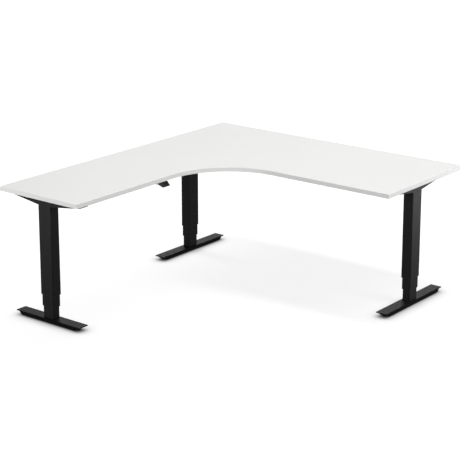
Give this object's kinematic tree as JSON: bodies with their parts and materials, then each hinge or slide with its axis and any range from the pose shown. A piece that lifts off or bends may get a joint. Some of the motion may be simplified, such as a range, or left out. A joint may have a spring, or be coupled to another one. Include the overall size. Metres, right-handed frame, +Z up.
{
  "type": "height adjustable corner desk",
  "caption": "Height adjustable corner desk: L-shaped white top with a rounded inner corner on electric telescopic columns with T feet.",
  "frame": {"origin": "on the floor, under the middle of the L-shaped top's bounding rectangle", "axes": "+X along the right wing's back edge to its free end, +Y towards that back edge, +Z up"},
  "size_m": [1.8, 2, 0.76],
  "materials": {
    "top_laminate": "white melamine laminate on chipboard, fine matt texture",
    "edge_band": "matt white edging strip",
    "frame_black": "fine textured black powder coat",
    "foot_black": "fine textured black powder coat on a casting",
    "glide_black": "moulded black acetal",
    "nut_plastic": "moulded natural acetal",
    "spindle_steel": "rolled steel, lightly greased",
    "gearbox_metal": "die-cast aluminium",
    "motor_black": "black enamelled steel can",
    "screw_zinc": "zinc plated steel",
    "box_plastic": "moulded black plastic, spark-eroded texture",
    "handset_plastic": "moulded black plastic, fine texture",
    "paddle_plastic": "moulded black plastic, satin",
    "lead_pvc": "black flexible lead sheath",
    "leveller_black": "moulded black pad on a steel stud"
  },
  "bodies": {
    "left_foot": {"left_foot": "foot_black", "left_foot_bolts": "screw_zinc", "left_inner_tube": "frame_black", "left_lower_nut": "nut_plastic"},
    "left_stage": {"left_middle_tube": "frame_black", "left_middle_glides": "glide_black", "left_upper_nut": "nut_plastic"},
    "left_drive": {"left_drive_spindle": "spindle_steel"},
    "left_lower": {"left_lower_spindle": "spindle_steel"},
    "left_leveller_outer": {"left_leveller_outer": "leveller_black"},
    "left_leveller_inner": {"left_leveller_inner": "leveller_black"},
    "corner_foot": {"corner_foot": "foot_black", "corner_foot_bolts": "screw_zinc", "corner_inner_tube": "frame_black", "corner_lower_nut": "nut_plastic"},
    "corner_stage": {"corner_middle_tube": "frame_black", "corner_middle_glides": "glide_black", "corner_upper_nut": "nut_plastic"},
    "corner_drive": {"corner_drive_spindle": "spindle_steel"},
    "corner_lower": {"corner_lower_spindle": "spindle_steel"},
    "corner_leveller_back": {"corner_leveller_back": "leveller_black"},
    "corner_leveller_front": {"corner_leveller_front": "leveller_black"},
    "right_foot": {"right_foot": "foot_black", "right_foot_bolts": "screw_zinc", "right_inner_tube": "frame_black", "right_lower_nut": "nut_plastic"},
    "right_stage": {"right_middle_tube": "frame_black", "right_middle_glides": "glide_black", "right_upper_nut": "nut_plastic"},
    "right_drive": {"right_drive_spindle": "spindle_steel"},
    "right_lower": {"right_lower_spindle": "spindle_steel"},
    "right_leveller_front": {"right_leveller_front": "leveller_black"},
    "right_leveller_back": {"right_leveller_back": "leveller_black"},
    "desk_top": {"tabletop": "top_laminate", "edge_band": "edge_band", "main_rails": "frame_black", "side_rails": "frame_black", "wood_screws": "screw_zinc", "column_bolts": "screw_zinc", "control_box": "box_plastic", "motor_leads": "lead_pvc", "handset_lead": "lead_pvc", "lead_clips": "glide_black", "handset_housing": "handset_plastic", "left_outer_tube": "frame_black", "left_outer_glide": "glide_black", "left_gearbox": "gearbox_metal", "left_motor": "motor_black", "left_arm": "frame_black", "corner_outer_tube": "frame_black", "corner_outer_glide": "glide_black", "corner_gearbox": "gearbox_metal", "corner_motor": "motor_black", "corner_arm": "frame_black", "right_outer_tube": "frame_black", "right_outer_glide": "glide_black", "right_gearbox": "gearbox_metal", "right_motor": "motor_black", "right_arm": "frame_black"},
    "paddle": {"handset_paddle": "paddle_plastic"}
  },
  "joints": [
    {"name": "corner_lower_lift", "type": "slide", "parent": "corner_foot", "child": "corner_stage", "axis": [0, 0, 1], "range_m": [-0.05, 0.27]},
    {"name": "corner_upper_lift", "type": "slide", "parent": "corner_stage", "child": "desk_top", "axis": [0, 0, 1], "range_m": [-0.05, 0.27]},
    {"name": "left_upper_lift", "type": "slide", "parent": "desk_top", "child": "left_stage", "axis": [0, 0, -1], "range_m": [-0.05, 0.27]},
    {"name": "left_lower_lift", "type": "slide", "parent": "left_stage", "child": "left_foot", "axis": [0, 0, -1], "range_m": [-0.05, 0.27]},
    {"name": "right_upper_lift", "type": "slide", "parent": "desk_top", "child": "right_stage", "axis": [0, 0, -1], "range_m": [-0.05, 0.27]},
    {"name": "right_lower_lift", "type": "slide", "parent": "right_stage", "child": "right_foot", "axis": [0, 0, -1], "range_m": [-0.05, 0.27]},
    {"name": "left_drive_spin", "type": "hinge", "parent": "desk_top", "child": "left_drive", "pos_m": [-0.602, -0.915, 0.718], "axis": [0, 0, 1], "range_deg": [-1501, 8101]},
    {"name": "left_lower_spin", "type": "hinge", "parent": "left_stage", "child": "left_lower", "pos_m": [-0.602, -0.915, 0.59], "axis": [0, 0, 1], "range_deg": [-1501, 8101]},
    {"name": "left_leveller_outer_screw", "type": "slide", "parent": "left_foot", "child": "left_leveller_outer", "axis": [0, 0, -1], "range_m": [0, 0.01]},
    {"name": "left_leveller_inner_screw", "type": "slide", "parent": "left_foot", "child": "left_leveller_inner", "axis": [0, 0, -1], "range_m": [0, 0.01]},
    {"name": "corner_drive_spin", "type": "hinge", "parent": "desk_top", "child": "corner_drive", "pos_m": [-0.838, 0.585, 0.718], "axis": [0, 0, 1], "range_deg": [-1501, 8101]},
    {"name": "corner_lower_spin", "type": "hinge", "parent": "corner_stage", "child": "corner_lower", "pos_m": [-0.838, 0.585, 0.59], "axis": [0, 0, 1], "range_deg": [-1501, 8101]},
    {"name": "corner_leveller_back_screw", "type": "slide", "parent": "corner_foot", "child": "corner_leveller_back", "axis": [0, 0, -1], "range_m": [0, 0.01]},
    {"name": "corner_leveller_front_screw", "type": "slide", "parent": "corner_foot", "child": "corner_leveller_front", "axis": [0, 0, -1], "range_m": [0, 0.01]},
    {"name": "right_drive_spin", "type": "hinge", "parent": "desk_top", "child": "right_drive", "pos_m": [0.818, 0.585, 0.718], "axis": [0, 0, 1], "range_deg": [-1501, 8101]},
    {"name": "right_lower_spin", "type": "hinge", "parent": "right_stage", "child": "right_lower", "pos_m": [0.818, 0.585, 0.59], "axis": [0, 0, 1], "range_deg": [-1501, 8101]},
    {"name": "right_leveller_front_screw", "type": "slide", "parent": "right_foot", "child": "right_leveller_front", "axis": [0, 0, -1], "range_m": [0, 0.01]},
    {"name": "right_leveller_back_screw", "type": "slide", "parent": "right_foot", "child": "right_leveller_back", "axis": [0, 0, -1], "range_m": [0, 0.01]},
    {"name": "paddle_tilt", "type": "hinge", "parent": "desk_top", "child": "paddle", "pos_m": [-0.338, -0.275, 0.7244], "axis": [0, 1, 0], "range_deg": [-6, 6], "stiffness_Nm_per_rad": 1.5}
  ],
  "couplings": [
    {"joint": "corner_upper_lift", "follows": "corner_lower_lift", "ratio": 1},
    {"joint": "left_upper_lift", "follows": "corner_lower_lift", "ratio": 1},
    {"joint": "left_lower_lift", "follows": "corner_lower_lift", "ratio": 1},
    {"joint": "right_upper_lift", "follows": "corner_lower_lift", "ratio": 1},
    {"joint": "right_lower_lift", "follows": "corner_lower_lift", "ratio": 1},
    {"joint": "left_drive_spin", "follows": "corner_lower_lift", "rad_per_m": 523.6},
    {"joint": "left_lower_spin", "follows": "corner_lower_lift", "rad_per_m": 523.6},
    {"joint": "corner_drive_spin", "follows": "corner_lower_lift", "rad_per_m": 523.6},
    {"joint": "corner_lower_spin", "follows": "corner_lower_lift", "rad_per_m": 523.6},
    {"joint": "right_drive_spin", "follows": "corner_lower_lift", "rad_per_m": 523.6},
    {"joint": "right_lower_spin", "follows": "corner_lower_lift", "rad_per_m": 523.6}
  ]
}
